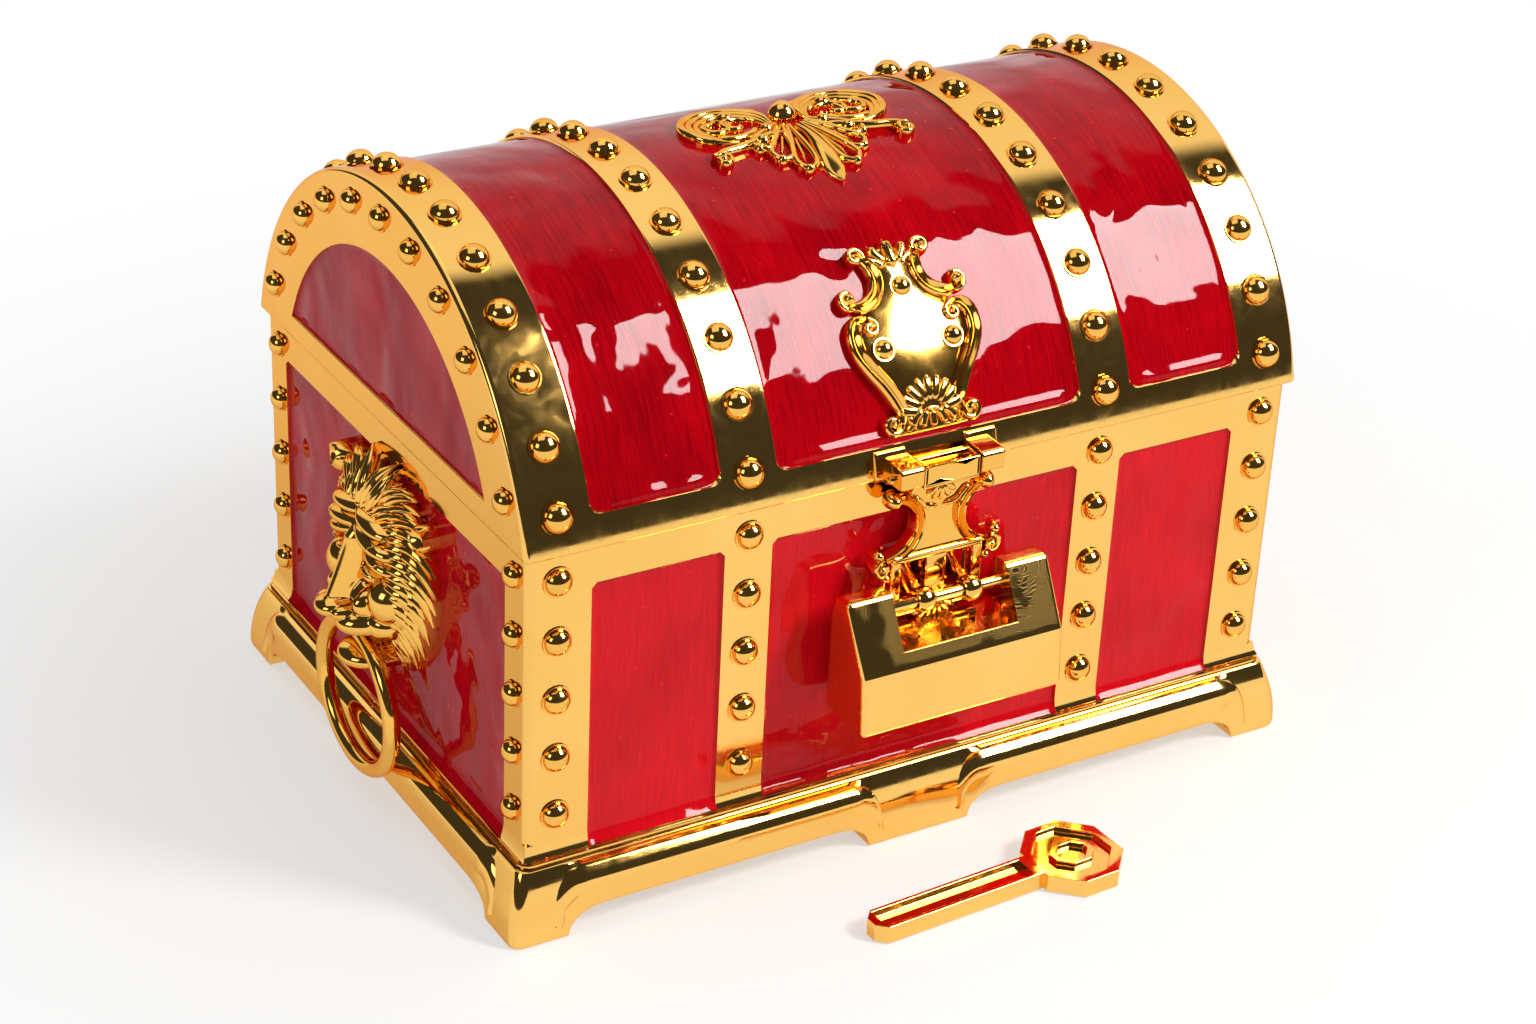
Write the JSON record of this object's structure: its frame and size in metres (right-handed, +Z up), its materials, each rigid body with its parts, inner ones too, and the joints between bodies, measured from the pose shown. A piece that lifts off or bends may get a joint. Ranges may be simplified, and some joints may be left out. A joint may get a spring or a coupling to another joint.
{
  "type": "treasure chest box",
  "caption": "Small treasure chest with a hinged barrel lid, enamel panels between riveted bands, a hasp and padlock, lion-mask ring pulls, bracket feet and a loose key.",
  "frame": {"origin": "on the table, under the middle of the chest's plinth, level with the feet", "axes": "+X to the chest's right as seen from the front, -Y towards the viewer (hasp side), +Z up"},
  "size_m": [0.259, 0.2127, 0.1692],
  "materials": {
    "gold_plating": "mirror gold plating on moulded plastic",
    "red_enamel": "glossy translucent red enamel over a grained ground",
    "gilt_fittings": "polished gilt casting",
    "gilt_pins": "polished gilt rod"
  },
  "bodies": {
    "box": {"plinth": "gold_plating", "box_shell": "gold_plating", "front_rivets": "gold_plating", "back_rivets": "gold_plating", "end_rivets_left": "gold_plating", "end_rivets_right": "gold_plating", "lion_mask_left": "gold_plating", "lion_mask_right": "gold_plating", "staple": "gilt_fittings", "box_hinge_knuckles": "gilt_fittings", "hinge_pins": "gilt_pins", "front_panel_left": "red_enamel", "front_panel_centre": "red_enamel", "front_panel_right": "red_enamel", "back_panel_left": "red_enamel", "back_panel_centre": "red_enamel", "back_panel_right": "red_enamel", "end_panel_left": "red_enamel", "end_panel_right": "red_enamel"},
    "lid": {"lid_shell": "gold_plating", "lid_rivets": "gold_plating", "lid_end_rivets_left": "gold_plating", "lid_end_rivets_right": "gold_plating", "crest": "gold_plating", "escutcheon": "gold_plating", "escutcheon_rivets": "gold_plating", "lid_hinge_knuckles": "gilt_fittings", "hasp_knuckles": "gilt_fittings", "hasp_pin": "gilt_pins", "lid_panel_left": "red_enamel", "lid_panel_centre": "red_enamel", "lid_panel_right": "red_enamel", "lid_end_panel_left": "red_enamel", "lid_end_panel_right": "red_enamel"},
    "hasp": {"hasp": "gilt_fittings"},
    "padlock": {"padlock_body": "gilt_fittings", "padlock_cover": "gilt_fittings"},
    "lock_bar": {"lock_bar": "gilt_pins"},
    "ring_left": {"pull_ring_left": "gilt_fittings"},
    "ring_right": {"pull_ring_right": "gilt_fittings"},
    "key": {"key": "gilt_fittings"}
  },
  "joints": [
    {"name": "lid_hinge", "type": "hinge", "parent": "box", "child": "lid", "pos_m": [0, 0.0824, 0.1032], "axis": [-1, 0, 0], "range_deg": [0, 100]},
    {"name": "hasp_hinge", "type": "hinge", "parent": "lid", "child": "hasp", "pos_m": [0, -0.0825, 0.1055], "axis": [-1, 0, 0], "range_deg": [0, 150]},
    {"name": "padlock_swing", "type": "hinge", "parent": "box", "child": "padlock", "pos_m": [0, -0.0867, 0.0726], "axis": [-1, 0, 0], "range_deg": [0, 25]},
    {"name": "lock_bar_slide", "type": "slide", "parent": "padlock", "child": "lock_bar", "axis": [1, 0, 0], "range_m": [0, 0.04]},
    {"name": "ring_left_swing", "type": "hinge", "parent": "box", "child": "ring_left", "pos_m": [-0.1196, 0, 0.04781], "axis": [0, 1, 0], "range_deg": [0, 75]},
    {"name": "ring_right_swing", "type": "hinge", "parent": "box", "child": "ring_right", "pos_m": [0.1196, 0, 0.04781], "axis": [0, -1, 0], "range_deg": [0, 75]},
    {"name": "key_lift", "type": "slide", "parent": "box", "child": "key", "axis": [0, 0, 1], "range_m": [0, 0.03]}
  ],
  "couplings": [
    {"joint": "hasp_hinge", "follows": "lid_hinge", "ratio": 1.5}
  ]
}
